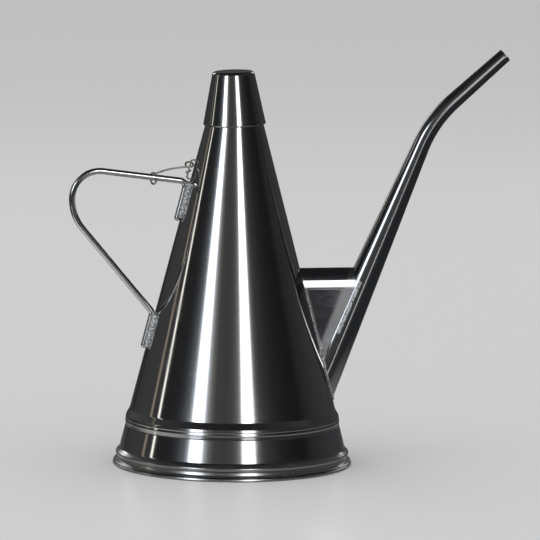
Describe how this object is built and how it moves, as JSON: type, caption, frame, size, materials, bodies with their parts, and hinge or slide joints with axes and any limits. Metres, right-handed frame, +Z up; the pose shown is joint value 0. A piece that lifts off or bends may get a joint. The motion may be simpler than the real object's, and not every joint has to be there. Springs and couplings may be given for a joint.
{
  "type": "olive oil dispenser",
  "caption": "Conical polished steel oil can with a slip-on cap, a long bent pouring spout braced by a folded gusset, and a bent wire handle.",
  "frame": {"origin": "centre of the flat underside of the base, on the table, on the axis of the cone", "axes": "+Z up along the axis of the cone, +X towards the spout, -X towards the handle"},
  "size_m": [0.2424, 0.1304, 0.2258],
  "materials": {
    "polished_steel": "mirror-polished stainless steel",
    "satin_steel": "satin stainless steel",
    "handle_steel": "bright-drawn wire",
    "keeper_steel": "thin drawn wire"
  },
  "bodies": {
    "can": {"body_shell": "polished_steel", "base_pan": "satin_steel", "spout_tube": "polished_steel", "spout_gusset": "polished_steel", "spout_seam": "satin_steel", "handle_wire": "handle_steel", "keeper_staple": "keeper_steel", "keeper_ring": "keeper_steel", "keeper_pin": "keeper_steel"},
    "cap": {"cap": "polished_steel"}
  },
  "joints": [
    {"name": "cap_lift", "type": "slide", "parent": "can", "child": "cap", "axis": [0, 0, 1], "range_m": [0, 0.06]}
  ]
}
